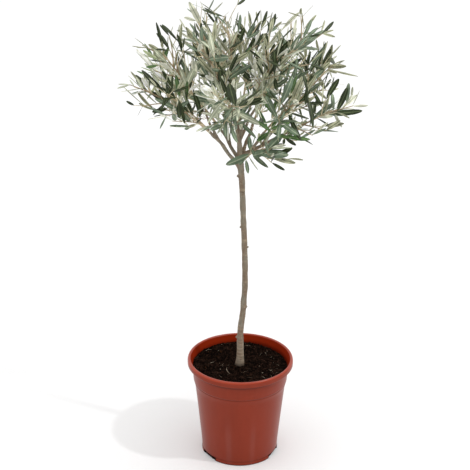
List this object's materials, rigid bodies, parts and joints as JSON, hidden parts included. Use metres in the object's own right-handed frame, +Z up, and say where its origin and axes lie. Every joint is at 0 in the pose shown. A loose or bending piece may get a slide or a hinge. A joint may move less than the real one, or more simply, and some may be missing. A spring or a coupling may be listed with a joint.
{
  "type": "potted olive tree",
  "caption": "Young olive grown as a standard: slim bare stem, wide loose head of narrow grey-green leaves, in a round terracotta-coloured plastic nursery pot of dark compost.",
  "frame": {"origin": "the middle of the pot's flat underside, on the ground", "axes": "+Z up; -Y is the front, the side seen in the picture; +X is the right as seen from the front"},
  "size_m": [0.4641, 0.4365, 0.9316],
  "materials": {
    "terracotta_plastic": "terracotta-coloured moulded plastic, satin, with a soft sheen on the rolled rim",
    "compost": "damp dark peat-like compost with fibres and pale mineral crumbs",
    "bark": "smooth young grey-brown bark with pale cross bands",
    "foliage": "leathery narrow leaves, dull grey-green above and pale silvery green below"
  },
  "bodies": {
    "root": {"pot": "terracotta_plastic", "soil": "compost", "trunk": "bark", "bough_left": "bark", "bough_left_back": "bark", "bough_back_right": "bark", "bough_right": "bark", "bough_front": "bark", "bough_top": "bark", "bough_left_front": "bark", "bough_high_left": "bark", "bough_back_left": "bark", "bough_right_back": "bark", "bough_front_right": "bark", "bough_high_front_left": "bark", "bough_high_left_back": "bark", "bough_high_right": "bark", "bough_high_back": "bark", "bough_high_front_right": "bark", "bough_low_shoot": "bark", "leaves_left": "foliage", "leaves_left_back": "foliage", "leaves_back_right": "foliage", "leaves_right": "foliage", "leaves_front": "foliage", "leaves_top": "foliage", "leaves_left_front": "foliage", "leaves_high_left": "foliage", "leaves_back_left": "foliage", "leaves_right_back": "foliage", "leaves_front_right": "foliage", "leaves_high_front_left": "foliage", "leaves_high_left_back": "foliage", "leaves_high_right": "foliage", "leaves_high_back": "foliage", "leaves_high_front_right": "foliage", "leaves_low_shoot": "foliage"}
  },
  "joints": []
}
